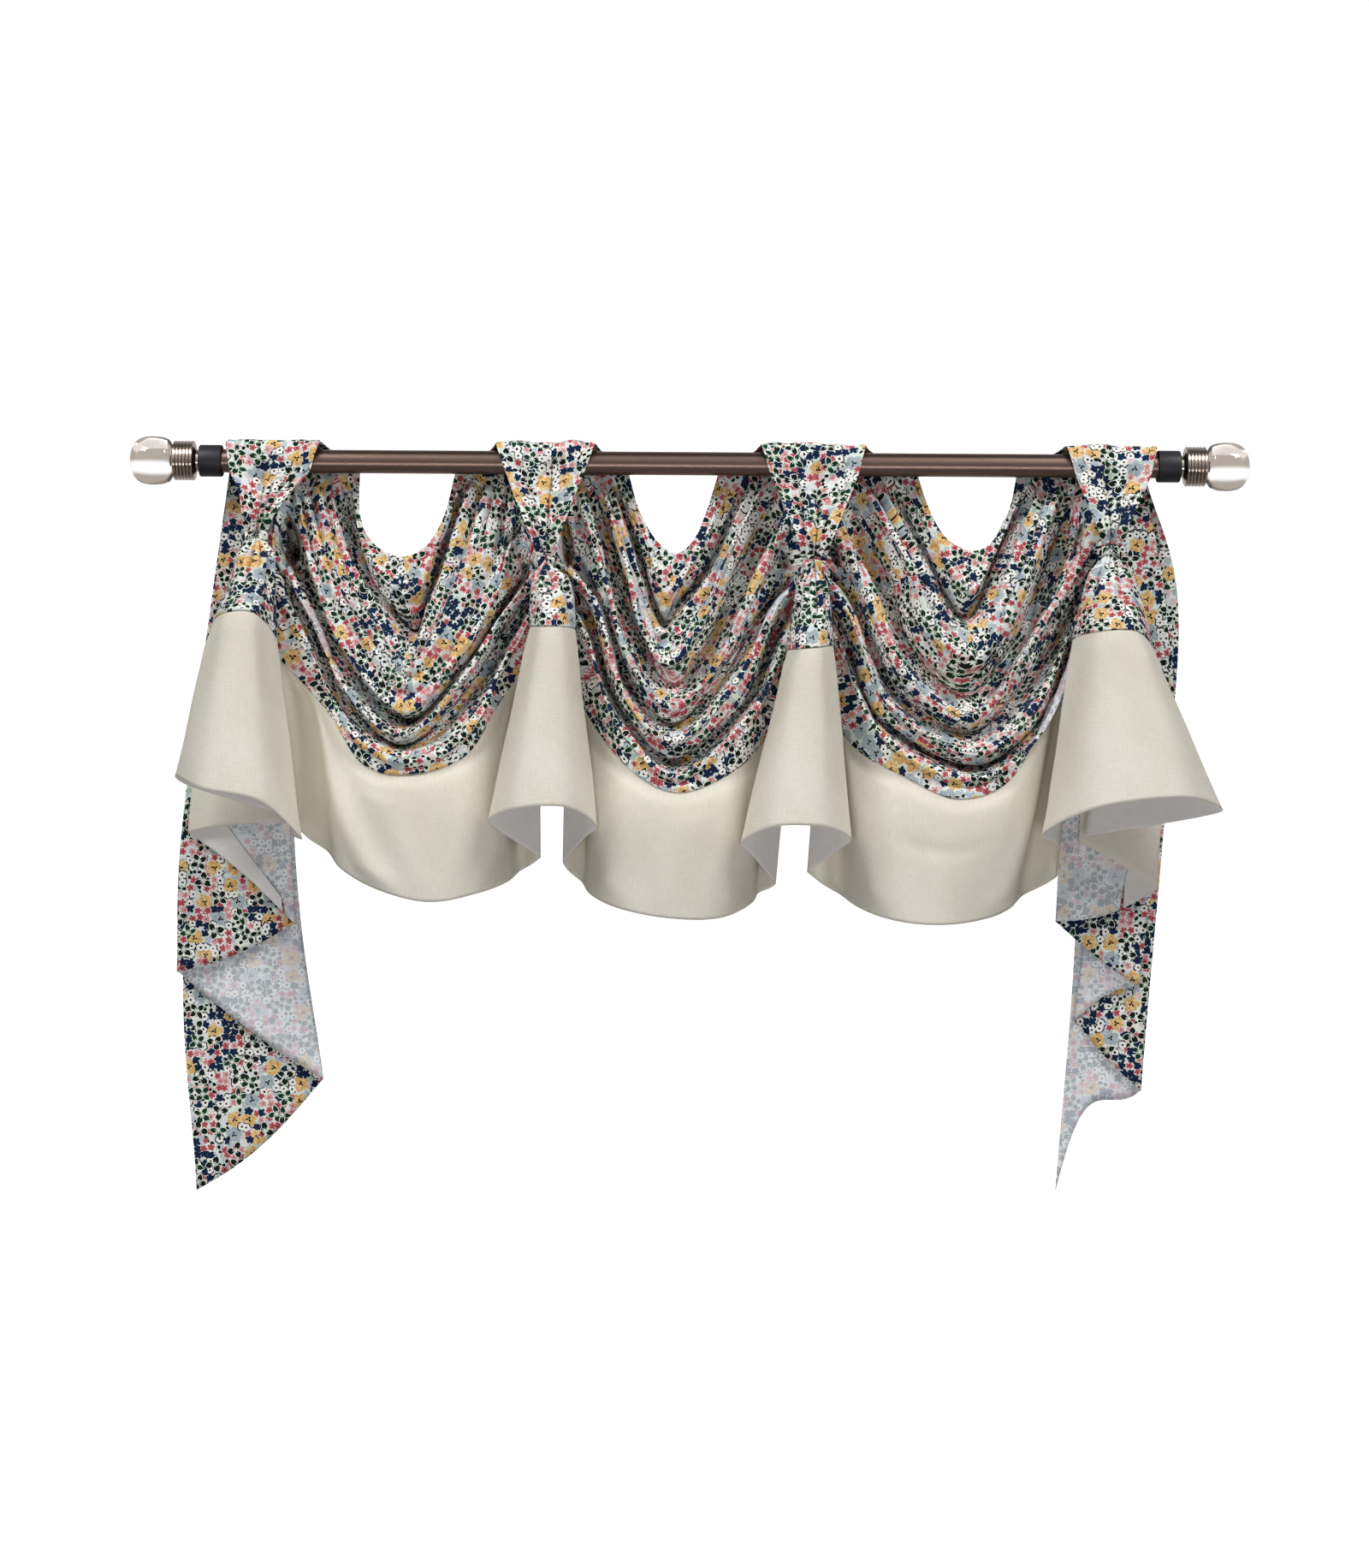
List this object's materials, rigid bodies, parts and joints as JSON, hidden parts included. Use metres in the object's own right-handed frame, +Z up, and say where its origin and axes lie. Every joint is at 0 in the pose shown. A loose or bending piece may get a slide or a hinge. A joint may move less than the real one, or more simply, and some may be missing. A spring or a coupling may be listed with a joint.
{
  "type": "swag and tail drape with its curtain rod",
  "caption": "Tab-top window drape of gathered print swags with cream bands, horns and zigzag tails, hung on a round rod with glass finials.",
  "frame": {"origin": "on the rod's axis at mid-length", "axes": "+X along the rod towards the right end as seen from the room, +Z up, the room side faces -Y and the wall side faces +Y"},
  "size_m": [1.198, 0.16, 0.815],
  "materials": {
    "print_cloth": "cotton print, matt",
    "cream_cloth": "plain cotton, matt",
    "bronze": "brushed bronze",
    "dark_sleeve": "matt",
    "nickel": "turned, satin",
    "clear_glass": "clear, polished"
  },
  "bodies": {
    "root": {"finial_knob_left": "clear_glass", "finial_knob_right": "clear_glass", "finial_neck_left": "nickel", "finial_neck_right": "nickel", "horn_1_band": "cream_cloth", "horn_1_print": "print_cloth", "horn_2_band": "cream_cloth", "horn_2_print": "print_cloth", "horn_3_band": "cream_cloth", "horn_3_print": "print_cloth", "horn_4_band": "cream_cloth", "horn_4_print": "print_cloth", "rod": "bronze", "sleeve_left": "dark_sleeve", "sleeve_right": "dark_sleeve", "strap_1": "print_cloth", "strap_2": "print_cloth", "strap_3": "print_cloth", "strap_4": "print_cloth", "swag_1_band": "cream_cloth", "swag_1_print": "print_cloth", "swag_2_band": "cream_cloth", "swag_2_print": "print_cloth", "swag_3_band": "cream_cloth", "swag_3_print": "print_cloth", "tail_1_band": "cream_cloth", "tail_1_print": "print_cloth", "tail_2_band": "cream_cloth", "tail_2_print": "print_cloth"}
  },
  "joints": []
}
